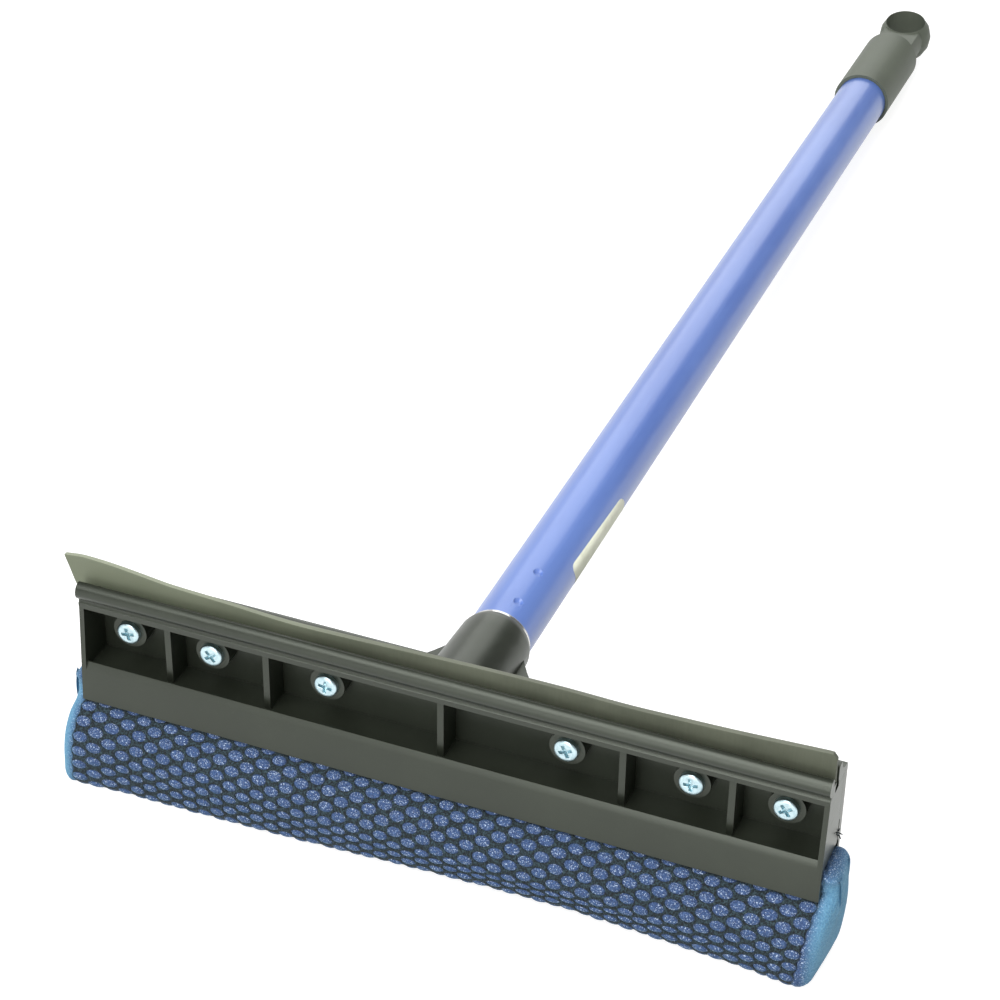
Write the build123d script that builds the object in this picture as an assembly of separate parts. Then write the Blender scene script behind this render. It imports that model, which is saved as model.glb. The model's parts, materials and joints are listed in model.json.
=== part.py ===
from build123d import *

import os
from math import asin, cos, pi, radians, sin, sqrt, tan

# Windscreen-washing squeegee on a steel tube handle.
#
# The head is two moulded casings clamped by six screws. Between them they grip the bead of a
# rubber blade along the top and the tail of a net sleeve along the bottom; the sleeve holds a
# foam bar between the casings' two skirts. The rear casing carries a socket with a spigot that
# the handle tube is staked onto. A cap with a hanging eye closes the far end of the tube.
#
# Everything is modelled in the head's own frame, millimetres: X along the head, Y along the
# handle away from the head, Z towards the blade, origin on the handle axis just behind the
# faces of the screw heads. lay_down() then turns it into its rest pose on a table.

# ---- Head ----
HEAD_LENGTH = 254.0
HALF_HEAD = HEAD_LENGTH / 2
PARTING_Y = 10.0            # rear face of the front casing
REAR_FACE_Y = 14.0
ROOF_TOP_Z = 12.4           # top of the front casing's roof, under the blade's bead
FLOOR_UNDER_Z = -15.0       # underside of the front casing's tray floor
SKIRT_FOOT_Z = -25.5

# ---- Front casing ----
FRONT_FOOT_Y = -7.0         # front face at the skirt's foot; it leans back to the lip
FRONT_LIP_Y = -4.3
LIP_FOOT_Z = 10.3
SKIRT_INNER_Y = -4.5
SKIRT_SHOULDER_Z = -13.4    # where the skirt's face turns into its bevel
TRAY_RIM_Z = -10.8
TRAY_FLOOR_Z = -12.9
RECESS_BACK_Y = 8.0
RECESS_TOP_Z = 10.9
END_WALL = 1.7
RIB_THICKNESS = 2.2
RIB_FRONT_Y = -2.0
RIB_X = (-96.1, -60.8, 0.0, 60.8, 96.1)

# ---- Blade seat ----
BLADE_FRONT_Y = 0.9
BLADE_THICKNESS = 2.2
BEAD_PROUD = 0.7            # how far the bead stands out of each face of the blade
BEAD_HEIGHT = 2.4
SEAT_CLEARANCE = 0.1
NIB_TOP_Z = 16.2            # front casing's retaining nib over the bead
BLADE_END_GAP = 0.5         # the blade's right end inside the end of the head
BLADE_RIGHT_TIP_Z = 26.2
BLADE_LEFT_TIP = (-134.6, 25.8)
BLADE_LEFT_ROOT = (-131.1, 16.9)
BLADE_LEFT_HEEL = (-129.6, 14.4)            # middle of the curve from the bead to the root
BLADE_DIPS = ((48.0, 23.8), (-54.0, 22.2))  # (X, Z) where the cut edge hangs lowest
BLADE_CORNER = 1.5

# ---- Rear casing ----
REAR_WALL = 2.0
REAR_RAIL_TOP_Z = 20.2
REAR_RAIL_THICKNESS = 3.2
REAR_SHELF_Z = 14.6         # where the slope behind the rail meets the rear face
CLAMP_RIB_Z = (-15.0, -6.0)
NET_GAP = 0.8               # space left for the net's tail between the casings

# ---- Screws: six pan-head tapping screws, 4.2 x 16 ----
SCREW_X = (-112.4, -82.1, -41.1, 41.1, 82.1, 112.4)
SCREW_Z = 0.4
SCREW_HEAD_RADIUS = 4.0
SCREW_HEAD_HEIGHT = 3.1
SCREW_SEAT_Y = 2.2
SCREW_LENGTH = 16.0
SCREW_SHANK_RADIUS = 1.7
CROSS_SPAN = 4.8
CROSS_WIDTH = 1.0
CROSS_DEPTH = 1.5
BOSS_RADIUS = 6.0
CLEARANCE_HOLE_RADIUS = 2.3
PILOT_BOSS_RADIUS = 4.0
PILOT_BOSS_END_Y = SCREW_SEAT_Y + SCREW_LENGTH + 1.6

# ---- Handle ----
TUBE_RADIUS = 11.0
TUBE_WALL = 0.8
TUBE_START_Y = 46.0
TUBE_END_Y = 526.0
SOCKET_BASE_RADIUS = 13.6
SOCKET_RIM_RADIUS = 12.4
SOCKET_RIM_Y = 42.6         # where the socket's taper turns into its rounded shoulder
SOCKET_TOP_RADIUS = 11.1    # flush with the tube
SPIGOT_CLEARANCE = 0.1
SPIGOT_WALL = 2.4
SPIGOT_WEB = 1.8
SPIGOT_END_Y = 92.0
SOCKET_CORE_Y = 22.0        # bottom of the coring inside the socket
GUSSET_TOP_Y = 38.0
GUSSET_WAIST = (18.2, 28.6)  # (X, Y) halfway down the hollow edge
GUSSET_REACH = 31.0
GUSSET_THICKNESS = 2.4
DIMPLE_Y = (54.8, 72.5)
DIMPLE_ANGLE = 71.0         # round the tube from +X towards +Z
DIMPLE_TIP_RADIUS = 1.0
DIMPLE_DEPTH = 0.9

# ---- End cap ----
CAP_RIM_Y = 480.5
CAP_SHOULDER_Y = 530.2
CAP_RADIUS = 12.5
CAP_SHOULDER_ROUND = 0.8
CAP_CLEARANCE = 0.1
EYE_Y = 556.0
EYE_RADIUS = 11.93          # the eye is a ball with a hole through it
EYE_BANDS = 4               # facet rings from one rim of the hole to the other
HANG_HOLE_RADIUS = 9.05
HANG_HOLE_LEAN = 10.6       # degrees that the hole's upper mouth leans towards the head
NECK_RADIUS = 9.8
NECK_HALF_HEIGHT = 5.6      # flat above and below, clear of the hole's rims

# ---- Sponge and net ----
SPONGE_HALF_LENGTH = 131.0
NET_HALF_LENGTH = 126.0
NET_THICKNESS = 1.0
SPONGE_TOP_Z = -16.1
SPONGE_FRONT_NIP_Y = -3.4   # foam face where the front skirt pinches it
SPONGE_REAR_NIP_Y = 10.9
SPONGE_BELLY_Y = -15.6
SPONGE_BACK_Y = 12.2
SPONGE_END_BLEND = 3.0
SPONGE_END_SCALE = 0.86      # the foam's end faces against its full section
BASE_PIVOT = (12.0, -54.0)  # (Y, Z) of the net's rear bottom edge, on the table

# ---- Rest pose: the net's underside and the cap's end edge stand on the table ----
REST_TILT = 4.585           # degrees that the handle falls towards its far end


def table_z(y, above=0.0):
    """Height of the table line at y in the head's frame, raised by above."""
    return BASE_PIVOT[1] + (y - BASE_PIVOT[0]) * tan(radians(REST_TILT)) + above


def run_along_head(outline, half_length=HALF_HEAD):
    """Extrudes a closed (Y, Z) outline both ways along the head."""
    return extrude(Plane.YZ * make_face(outline), half_length, both=True)


def slab(x_range, y_range, z_range):
    """Box between the given limits."""
    size = [high - low for low, high in (x_range, y_range, z_range)]
    centre = [(high + low) / 2 for low, high in (x_range, y_range, z_range)]
    return Pos(*centre) * Box(*size)


def rod(radius, y_start, y_end, x=0.0, z=0.0):
    """Round bar parallel to the handle."""
    along_handle = Plane(origin=(x, y_start, z), x_dir=(1, 0, 0), z_dir=(0, 1, 0))
    return extrude(along_handle * Circle(radius), y_end - y_start)


def turn_on_handle(outline):
    """Revolves a closed (radius, Y) outline about the handle axis."""
    return revolve(make_face(outline), Axis.Y)


def front_face_y(z):
    """Front of the casing at height z: a plane that leans back from the foot to the lip."""
    lean = (FRONT_LIP_Y - FRONT_FOOT_Y) / (LIP_FOOT_Z - SKIRT_FOOT_Z)
    return FRONT_FOOT_Y + (z - SKIRT_FOOT_Z) * lean


def front_casing():
    """Front half of the head: skirt, tray, ribs, screw bosses and the rolled rail."""
    foot = (FRONT_FOOT_Y, SKIRT_FOOT_Z)
    lip_foot = (FRONT_LIP_Y, LIP_FOOT_Z)
    lip_top = (FRONT_LIP_Y - 0.2, 12.3)
    cove_deep = (FRONT_LIP_Y + 0.3, 13.3)
    roll_foot = (FRONT_LIP_Y - 0.3, 14.3)
    roll_front = (-6.0, 17.4)
    roll_top = (-3.7, 20.0)
    rail_inner = (-1.9, 18.6)
    seat_front_y = BLADE_FRONT_Y - BEAD_PROUD - SEAT_CLEARANCE
    nib_y = BLADE_FRONT_Y - SEAT_CLEARANCE
    nib_under_z = ROOF_TOP_Z + BEAD_HEIGHT + 2 * SEAT_CLEARANCE
    outline = Curve() + [
        Line(foot, lip_foot),
        Line(lip_foot, lip_top),
        ThreePointArc(lip_top, cove_deep, roll_foot),
        ThreePointArc(roll_foot, roll_front, roll_top),
        ThreePointArc(roll_top, (-2.4, 19.7), rail_inner),
        Polyline(
            rail_inner,
            (-1.5, NIB_TOP_Z),
            (nib_y, NIB_TOP_Z),
            (nib_y, nib_under_z),
            (seat_front_y, nib_under_z),
            (seat_front_y, ROOF_TOP_Z),
            (PARTING_Y, ROOF_TOP_Z),
            (PARTING_Y, FLOOR_UNDER_Z),
            (SKIRT_INNER_Y, FLOOR_UNDER_Z),
            (SKIRT_INNER_Y, SKIRT_FOOT_Z),
            foot,
        ),
    ]
    body = run_along_head(outline)

    # The recess, open to the front, with a bevelled tray rim below and a hanging lip above.
    shoulder_y = front_face_y(SKIRT_SHOULDER_Z)
    rim_back_y = SKIRT_INNER_Y + 0.2
    outside_y = FRONT_FOOT_Y - 5.0
    recess = Polyline(
        (outside_y, LIP_FOOT_Z),
        (FRONT_LIP_Y + 1.6, LIP_FOOT_Z),
        (FRONT_LIP_Y + 1.6, RECESS_TOP_Z),
        (RECESS_BACK_Y, RECESS_TOP_Z),
        (RECESS_BACK_Y, TRAY_FLOOR_Z),
        (rim_back_y, TRAY_FLOOR_Z),
        (rim_back_y, TRAY_RIM_Z),
        (rim_back_y - 0.5, TRAY_RIM_Z),
        (shoulder_y, SKIRT_SHOULDER_Z),
        (outside_y, SKIRT_SHOULDER_Z),
        close=True,
    )
    body -= run_along_head(recess, HALF_HEAD - END_WALL)

    for x in RIB_X:
        half = RIB_THICKNESS / 2
        body += slab((x - half, x + half), (RIB_FRONT_Y, RECESS_BACK_Y), (TRAY_FLOOR_Z, RECESS_TOP_Z))
    for x in SCREW_X:
        body += rod(BOSS_RADIUS, SCREW_SEAT_Y, RECESS_BACK_Y, x, SCREW_Z)
    for x in SCREW_X:
        body -= rod(CLEARANCE_HOLE_RADIUS, SCREW_SEAT_Y, PARTING_Y, x, SCREW_Z)
    return body


def rear_rail_outline():
    """Section of the rear casing: rail behind the blade, rear wall, skirt and clamp rib."""
    seat_rear_y = BLADE_FRONT_Y + BLADE_THICKNESS + BEAD_PROUD + SEAT_CLEARANCE
    rail_front_y = BLADE_FRONT_Y + BLADE_THICKNESS + SEAT_CLEARANCE
    rail_rear_y = rail_front_y + REAR_RAIL_THICKNESS
    bead_top_z = ROOF_TOP_Z + BEAD_HEIGHT + 2 * SEAT_CLEARANCE
    flange_under_z = ROOF_TOP_Z + SEAT_CLEARANCE
    wall_front_y = REAR_FACE_Y - REAR_WALL
    rounding = 0.8
    rail_left = (rail_front_y, REAR_RAIL_TOP_Z - rounding)
    rail_top_left = (rail_front_y + rounding, REAR_RAIL_TOP_Z)
    rail_top_right = (rail_rear_y - rounding, REAR_RAIL_TOP_Z)
    rail_right = (rail_rear_y, REAR_RAIL_TOP_Z - rounding)
    slope_top = (rail_rear_y + 0.4, 18.0)
    slope_mid = (9.0, 15.6)
    shelf = (REAR_FACE_Y - 1.0, REAR_SHELF_Z)
    inset = rounding * (1 - cos(radians(45)))
    return Curve() + [
        ThreePointArc(
            rail_left,
            (rail_front_y + inset, REAR_RAIL_TOP_Z - inset),
            rail_top_left,
        ),
        Line(rail_top_left, rail_top_right),
        ThreePointArc(
            rail_top_right,
            (rail_rear_y - inset, REAR_RAIL_TOP_Z - inset),
            rail_right,
        ),
        Line(rail_right, slope_top),
        ThreePointArc(slope_top, slope_mid, shelf),
        Polyline(
            shelf,
            (REAR_FACE_Y, REAR_SHELF_Z - 1.0),
            (REAR_FACE_Y, SKIRT_FOOT_Z),
            (wall_front_y, SKIRT_FOOT_Z),
            (wall_front_y, CLAMP_RIB_Z[0]),
            (PARTING_Y + NET_GAP, CLAMP_RIB_Z[0]),
            (PARTING_Y + NET_GAP, CLAMP_RIB_Z[1]),
            (wall_front_y, CLAMP_RIB_Z[1]),
            (wall_front_y, flange_under_z),
            (seat_rear_y, flange_under_z),
            (seat_rear_y, bead_top_z),
            (rail_front_y, bead_top_z),
            rail_left,
        ),
    ]


def punch(y, margin=0.0):
    """Tapered punch that stakes the tube onto the spigot at y, grown by margin all round."""
    turn = radians(DIMPLE_ANGLE)
    outward = Vector(cos(turn), 0, sin(turn))
    tip = outward * (TUBE_RADIUS - DIMPLE_DEPTH - margin) + Vector(0, y, 0)
    tip_radius = DIMPLE_TIP_RADIUS + margin * (sqrt(2) - 1)
    height = 2 * TUBE_WALL + DIMPLE_DEPTH + margin
    taper = Cone(tip_radius, tip_radius + height, height, align=(Align.CENTER, Align.CENTER, Align.MIN))
    return Plane(origin=tip, z_dir=outward) * taper


def socket():
    """Tapered socket with two gussets and the cored spigot that enters the tube."""
    shoulder = Polyline(
        (0, RECESS_BACK_Y + 4.0),
        (SOCKET_BASE_RADIUS, RECESS_BACK_Y + 4.0),
        (SOCKET_BASE_RADIUS, REAR_FACE_Y),
        (SOCKET_RIM_RADIUS, SOCKET_RIM_Y),
        (SOCKET_TOP_RADIUS + 0.7, TUBE_START_Y - 1.2),
        (SOCKET_TOP_RADIUS, TUBE_START_Y),
        (0, TUBE_START_Y),
        close=True,
    )
    body = turn_on_handle(shoulder)
    for side in (-1, 1):
        root = (side * (SOCKET_TOP_RADIUS - 2.0), REAR_FACE_Y - 1.0)
        tip = (side * (SOCKET_TOP_RADIUS - 2.0), GUSSET_TOP_Y)
        flank = (side * (SOCKET_RIM_RADIUS - 0.1), GUSSET_TOP_Y)
        waist = (side * GUSSET_WAIST[0], GUSSET_WAIST[1])
        foot = (side * GUSSET_REACH, REAR_FACE_Y + 2.0)
        toe = (side * GUSSET_REACH, REAR_FACE_Y - 1.0)
        web = Curve() + [
            Polyline(toe, root, tip, flank),
            ThreePointArc(flank, waist, foot),
            Line(foot, toe),
        ]
        body += extrude(make_face(web), GUSSET_THICKNESS / 2, both=True)

    spigot_radius = TUBE_RADIUS - TUBE_WALL - SPIGOT_CLEARANCE
    core_radius = spigot_radius - SPIGOT_WALL
    body += rod(spigot_radius, TUBE_START_Y - 1.0, SPIGOT_END_Y)
    body -= rod(core_radius, SOCKET_CORE_Y, SPIGOT_END_Y)
    half = SPIGOT_WEB / 2
    reach = core_radius + SPIGOT_WALL / 2
    body += slab((-half, half), (SOCKET_CORE_Y, SPIGOT_END_Y - 1.0), (-reach, reach))
    body += slab((-reach, reach), (SOCKET_CORE_Y, SPIGOT_END_Y - 1.0), (-half, half))
    for y in DIMPLE_Y:
        body -= punch(y, TUBE_WALL + SPIGOT_CLEARANCE)
    return body


def rear_casing():
    """Rear half of the head, moulded in one with the handle socket."""
    body = run_along_head(rear_rail_outline())
    wall_front_y = REAR_FACE_Y - REAR_WALL
    for side in (-1, 1):
        ends = sorted((side * HALF_HEAD, side * (HALF_HEAD - END_WALL)))
        body += slab(ends, (PARTING_Y + 0.05, wall_front_y), (CLAMP_RIB_Z[1], ROOF_TOP_Z))
    body += socket()
    for x in SCREW_X:
        body += rod(PILOT_BOSS_RADIUS, PARTING_Y, PILOT_BOSS_END_Y, x, SCREW_Z)
    for x in SCREW_X:
        body -= rod(SCREW_SHANK_RADIUS, PARTING_Y, SCREW_SEAT_Y + SCREW_LENGTH, x, SCREW_Z)
    return body


def blade():
    """Rubber strip with a square bead along its root and its left end cut on a slant."""
    root_z = ROOF_TOP_Z + SEAT_CLEARANCE
    right_x = HALF_HEAD - BLADE_END_GAP
    right_tip = (right_x, BLADE_RIGHT_TIP_Z)
    bead_end = (-HALF_HEAD, root_z)
    outline = Curve() + [
        Polyline(right_tip, (right_x, root_z), bead_end),
        ThreePointArc(bead_end, BLADE_LEFT_HEEL, BLADE_LEFT_ROOT),
        Line(BLADE_LEFT_ROOT, BLADE_LEFT_TIP),
        Spline(right_tip, *BLADE_DIPS, BLADE_LEFT_TIP),
    ]
    front_plane = Plane(origin=(0, BLADE_FRONT_Y, 0), x_dir=(1, 0, 0), z_dir=(0, -1, 0))
    lip = extrude(front_plane * make_face(outline), -BLADE_THICKNESS)
    right_corner = lip.edges().filter_by(Axis.Y).sort_by(lambda edge: edge.center().X + edge.center().Z)
    lip = fillet(right_corner[-1], BLADE_CORNER)
    bead_y = (BLADE_FRONT_Y - BEAD_PROUD, BLADE_FRONT_Y + BLADE_THICKNESS + BEAD_PROUD)
    return lip + slab((-HALF_HEAD, right_x), bead_y, (root_z, root_z + BEAD_HEIGHT))


def sponge_outline():
    """Section of the foam: nipped between the skirts, bellied in front, flat on the table."""
    nip_foot_z = SKIRT_FOOT_Z - NET_THICKNESS
    top_front = (SPONGE_FRONT_NIP_Y, SPONGE_TOP_Z)
    nip_front = (SPONGE_FRONT_NIP_Y, nip_foot_z)
    belly = (SPONGE_BELLY_Y, -46.0)
    heel_front = (-11.0, table_z(-11.0, NET_THICKNESS))
    heel_rear = (9.0, table_z(9.0, NET_THICKNESS))
    back = (SPONGE_BACK_Y, -46.0)
    nip_rear = (SPONGE_REAR_NIP_Y, nip_foot_z)
    top_rear = (SPONGE_REAR_NIP_Y, SPONGE_TOP_Z)
    return Curve() + [
        Line(top_front, nip_front),
        ThreePointArc(nip_front, (-12.0, -34.2), belly),
        ThreePointArc(belly, (-14.6, -52.6), heel_front),
        Line(heel_front, heel_rear),
        ThreePointArc(heel_rear, (11.6, -51.0), back),
        ThreePointArc(back, (12.3, -36.0), nip_rear),
        Polyline(nip_rear, top_rear, top_front),
    ]


def foam_sponge():
    """Foam bar, a little longer than the head."""
    section = make_face(sponge_outline())
    keep_centred = Pos(*(section.center() * (1 - SPONGE_END_SCALE)))
    small_section = keep_centred * scale(section, SPONGE_END_SCALE)
    square_end_x = SPONGE_HALF_LENGTH - SPONGE_END_BLEND
    bar = run_along_head(sponge_outline(), square_end_x)
    for side in (-1, 1):
        inner = Plane.YZ.offset(side * square_end_x) * section
        outer = Plane.YZ.offset(side * SPONGE_HALF_LENGTH) * small_section
        bar += loft([inner, outer], ruled=True)
    return bar


def net_sleeve():
    """Net drawn round the foam, its joined tail standing up between the two casings."""
    around_foam = make_face(sponge_outline())
    skin = offset(around_foam, NET_THICKNESS, kind=Kind.INTERSECTION) - around_foam
    sleeve = extrude(Plane.YZ * skin, NET_HALF_LENGTH, both=True)
    tail_y = (PARTING_Y + 0.05, PARTING_Y + NET_GAP - 0.05)
    tail_z = (SPONGE_TOP_Z + NET_THICKNESS / 2, CLAMP_RIB_Z[1])
    return sleeve + slab((-NET_HALF_LENGTH, NET_HALF_LENGTH), tail_y, tail_z)


def clamp_screw(x):
    """Pan-head cross-recess screw at x, its head against the boss of the front casing."""
    head_face_y = SCREW_SEAT_Y - SCREW_HEAD_HEIGHT
    shank_end_y = SCREW_SEAT_Y + SCREW_LENGTH
    profile = Polyline(
        (0, head_face_y),
        (SCREW_HEAD_RADIUS, head_face_y),
        (SCREW_HEAD_RADIUS, SCREW_SEAT_Y),
        (SCREW_SHANK_RADIUS, SCREW_SEAT_Y),
        (SCREW_SHANK_RADIUS, shank_end_y),
        (0, shank_end_y),
        close=True,
    )
    cross_y = (head_face_y - 1.0, head_face_y + CROSS_DEPTH)
    long_arm = (-CROSS_SPAN / 2, CROSS_SPAN / 2)
    short_arm = (-CROSS_WIDTH / 2, CROSS_WIDTH / 2)
    cross = slab(long_arm, cross_y, short_arm) + slab(short_arm, cross_y, long_arm)
    return Pos(x, 0, SCREW_Z) * (turn_on_handle(profile) - cross)


def handle_tube():
    """Thin steel tube, open at both ends, with two punch marks over the spigot."""
    inner_radius = TUBE_RADIUS - TUBE_WALL
    tube = rod(TUBE_RADIUS, TUBE_START_Y, TUBE_END_Y)
    bore = rod(inner_radius, TUBE_START_Y, TUBE_END_Y)
    for y in DIMPLE_Y:
        tube -= punch(y)
        bore -= punch(y, TUBE_WALL)
    return tube - bore


def end_cap():
    """Push-on cap: a straight sleeve, a low neck and a ball-shaped eye across the handle."""
    bore_radius = TUBE_RADIUS + CAP_CLEARANCE
    crown_y = TUBE_END_Y + 1.0
    sleeve = Polyline(
        (0, crown_y),
        (bore_radius, crown_y),
        (bore_radius, CAP_RIM_Y),
        (CAP_RADIUS, CAP_RIM_Y),
        (CAP_RADIUS, CAP_SHOULDER_Y - CAP_SHOULDER_ROUND),
        (CAP_RADIUS - CAP_SHOULDER_ROUND, CAP_SHOULDER_Y),
        (0, CAP_SHOULDER_Y),
        close=True,
    )
    body = turn_on_handle(sleeve)

    neck_y = (CAP_SHOULDER_Y - 1.0, EYE_Y)
    neck_z = (-NECK_HALF_HEIGHT, NECK_HALF_HEIGHT)
    body += rod(NECK_RADIUS, *neck_y) & slab((-NECK_RADIUS, NECK_RADIUS), neck_y, neck_z)

    lean = Pos(0, EYE_Y, 0) * Rot(X=HANG_HOLE_LEAN)
    body += lean * eye_ball()
    return body - lean * Cylinder(HANG_HOLE_RADIUS, 2 * EYE_RADIUS)


def eye_ball():
    """Ball about the hole's axis, its round sides cut into bands and its ends level with the rims."""
    rim_turn = asin(HANG_HOLE_RADIUS / EYE_RADIUS)
    turns = [rim_turn + (pi - 2 * rim_turn) * band / EYE_BANDS for band in range(EYE_BANDS + 1)]
    sides = [(EYE_RADIUS * sin(turn), EYE_RADIUS * cos(turn)) for turn in turns]
    outline = Polyline((0, sides[0][1]), *sides, (0, sides[-1][1]), close=True)
    return revolve(Plane.XZ * make_face(outline), Axis.Z)


def lay_down(pieces):
    """Turns the pieces into the rest pose, centred over the origin with the table at Z = 0."""
    tilted = {name: Rot(X=-REST_TILT) * piece for name, piece in pieces.items()}
    box = Compound(list(tilted.values())).bounding_box()
    shift = Pos(-box.center().X, -box.center().Y, -box.min.Z)
    return {name: shift * piece for name, piece in tilted.items()}


def main():
    pieces = {
        "front_casing": front_casing(),
        "rear_casing": rear_casing(),
        "squeegee_blade": blade(),
        "foam_sponge": foam_sponge(),
        "net_sleeve": net_sleeve(),
        "handle_tube": handle_tube(),
        "end_cap": end_cap(),
    }
    for number, x in enumerate(SCREW_X, start=1):
        pieces[f"clamp_screw_{number}"] = clamp_screw(x)
    os.makedirs("parts", exist_ok=True)
    for name, piece in lay_down(pieces).items():
        export_step(piece, f"parts/{name}.step")


if __name__ == "__main__":
    main()
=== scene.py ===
"""Windscreen squeegee: its finishes, soft parts and small fasteners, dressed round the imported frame.

The moulded casings, the handle tube and the end cap are the frame's own solids with a finish and
softened edges. The rubber blade, the foam bar, the net, the screws, the bare label and the loose
threads are modelled here. Lengths are in metres.
"""

from __future__ import annotations

import bisect
import json
import logging
import math
from collections.abc import Mapping, Sequence
from dataclasses import dataclass, field
from enum import Enum
from typing import TypeVar

import bmesh
import bpy
from mathutils import Matrix, Vector, noise


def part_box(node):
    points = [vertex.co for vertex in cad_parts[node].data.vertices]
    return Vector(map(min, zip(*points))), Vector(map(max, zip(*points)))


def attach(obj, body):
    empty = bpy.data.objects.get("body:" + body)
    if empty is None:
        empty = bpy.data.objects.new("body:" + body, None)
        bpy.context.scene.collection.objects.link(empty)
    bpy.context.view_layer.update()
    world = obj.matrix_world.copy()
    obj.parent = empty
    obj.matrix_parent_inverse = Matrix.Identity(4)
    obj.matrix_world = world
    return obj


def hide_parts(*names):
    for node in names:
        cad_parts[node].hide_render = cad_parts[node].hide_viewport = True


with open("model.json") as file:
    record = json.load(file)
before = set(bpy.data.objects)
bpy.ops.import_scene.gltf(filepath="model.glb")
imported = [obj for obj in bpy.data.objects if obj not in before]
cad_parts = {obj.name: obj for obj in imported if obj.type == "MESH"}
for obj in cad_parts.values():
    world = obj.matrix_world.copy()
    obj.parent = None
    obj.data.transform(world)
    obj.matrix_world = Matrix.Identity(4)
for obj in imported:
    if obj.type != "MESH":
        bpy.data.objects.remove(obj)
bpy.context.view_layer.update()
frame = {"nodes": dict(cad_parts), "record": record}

log = logging.getLogger("squeegee")

MM = 0.001
ROOT = "root"
NEAR_THREAD = "near_thread"  # the foam's attribute: 0 in the middle of a hole of the net, 1 at its rim
Colour = tuple[float, float, float]
Table = tuple[tuple[float, float], ...]
Point = TypeVar("Point", float, Vector)
Span = tuple[float, float]  # two values that a share is eased between
Stretch = tuple[float, float, float]

WELD_GAP = 0.002 * MM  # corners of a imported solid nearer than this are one
EDGE_STEPS = 2  # facets across a softened edge
FACE_WEIGHT = 80  # how far large faces set the shading at an edge, from 1 to 100

EYE_Y = 556.0 * MM  # hanging hole, up the handle from the head's origin
EYE_LEAN = 10.6  # degrees that the hole's upper mouth leans towards the head


class Slot(Enum):
    """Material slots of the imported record."""

    CASING = "casing_plastic"
    CAP = "cap_plastic"
    RUBBER = "blade_rubber"
    FOAM = "foam"
    NET = "net"
    SCREW = "zinc_screw"
    PAINT = "tube_paint"


def srgb(red: int, green: int, blue: int) -> Colour:
    """Linear colour of three 8-bit display values.

    Args:
        red: Display value from 0 to 255.
        green: Display value from 0 to 255.
        blue: Display value from 0 to 255.

    Returns:
        The linear colour.
    """

    def linear(value: int) -> float:
        """Linear share of one display value."""
        share = value / 255
        return share / 12.92 if share <= 0.04045 else ((share + 0.055) / 1.055) ** 2.4

    return linear(red), linear(green), linear(blue)


def smooth_step(value: float, low: float, high: float) -> float:
    """Eased share of the way that value has gone from low to high."""
    share = min(max((value - low) / (high - low), 0.0), 1.0)
    return share * share * (3 - 2 * share)


def curve_point(start: Point, leave: Point, end: Point, arrive: Point, share: float) -> Point:
    """Point of a smooth curve between two others.

    Args:
        start: The first point.
        leave: The curve's run there, over the whole way.
        end: The second point.
        arrive: The curve's run there.
        share: How far from the first to the second.

    Returns:
        The point, or the height where the points are heights.
    """
    square, cube = share**2, share**3
    return (
        start * (2 * cube - 3 * square + 1)
        + leave * (cube - 2 * square + share)
        + end * (3 * square - 2 * cube)
        + arrive * (cube - square)
    )


def smooth_line(points: Sequence[tuple[float, float]], x: float) -> float:
    """Height at x of a smooth line through points.

    Args:
        points: (x, height) pairs, in order of x.
        x: Where the height is wanted.

    Returns:
        The height; past the ends it stays that of the end point.
    """
    if x <= points[0][0]:
        return points[0][1]
    if x >= points[-1][0]:
        return points[-1][1]
    index = next(i for i, point in enumerate(points[1:]) if x <= point[0])
    spot = [points[max(min(index + shift, len(points) - 1), 0)] for shift in (-1, 0, 1, 2)]
    (x0, z0), (x1, z1), (x2, z2), (x3, z3) = spot
    span = x2 - x1
    leave = (z2 - z0) / (x2 - x0) * span
    arrive = (z3 - z1) / (x3 - x1) * span
    return curve_point(z1, leave, z2, arrive, (x - x1) / span)


# ---- Shader workbench -----------------------------------------------------------------------------


class Signal:
    """A shader socket that takes part in Python arithmetic; an operator adds a Math node."""

    def __init__(self, bench: NodeBench, socket: bpy.types.NodeSocket) -> None:
        """Wraps a socket of the bench's node tree."""
        self.bench = bench
        self.socket = socket

    def _maths(self, operation: str, first: Signal | float, second: Signal | float = 0.0) -> Signal:
        """Adds a Math node on one or two values."""
        return self.bench.node("ShaderNodeMath", {"operation": operation}, {0: first, 1: second})

    def __add__(self, other: Signal | float) -> Signal:
        """Sum."""
        return self._maths("ADD", self, other)

    def __radd__(self, other: float) -> Signal:
        """Sum with the number first."""
        return self._maths("ADD", other, self)

    def __sub__(self, other: Signal | float) -> Signal:
        """Difference."""
        return self._maths("SUBTRACT", self, other)

    def __rsub__(self, other: float) -> Signal:
        """Difference with the number first."""
        return self._maths("SUBTRACT", other, self)

    def __mul__(self, other: Signal | float) -> Signal:
        """Product."""
        return self._maths("MULTIPLY", self, other)

    def __rmul__(self, other: float) -> Signal:
        """Product with the number first."""
        return self._maths("MULTIPLY", other, self)

    def size(self) -> Signal:
        """Absolute value."""
        return self._maths("ABSOLUTE", self)

    def eased(self, low: float, high: float) -> Signal:
        """Smooth share of the way from low to high; it falls when low is the larger.

        Args:
            low: Value at which the share is 0.
            high: Value at which the share is 1.

        Returns:
            The share, from 0 to 1.
        """
        if low < high:
            sockets = {0: self, 1: low, 2: high, 3: 0.0, 4: 1.0}
        else:
            sockets = {0: self, 1: high, 2: low, 3: 1.0, 4: 0.0}
        return self.bench.node("ShaderNodeMapRange", {"interpolation_type": "SMOOTHSTEP"}, sockets)


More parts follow.
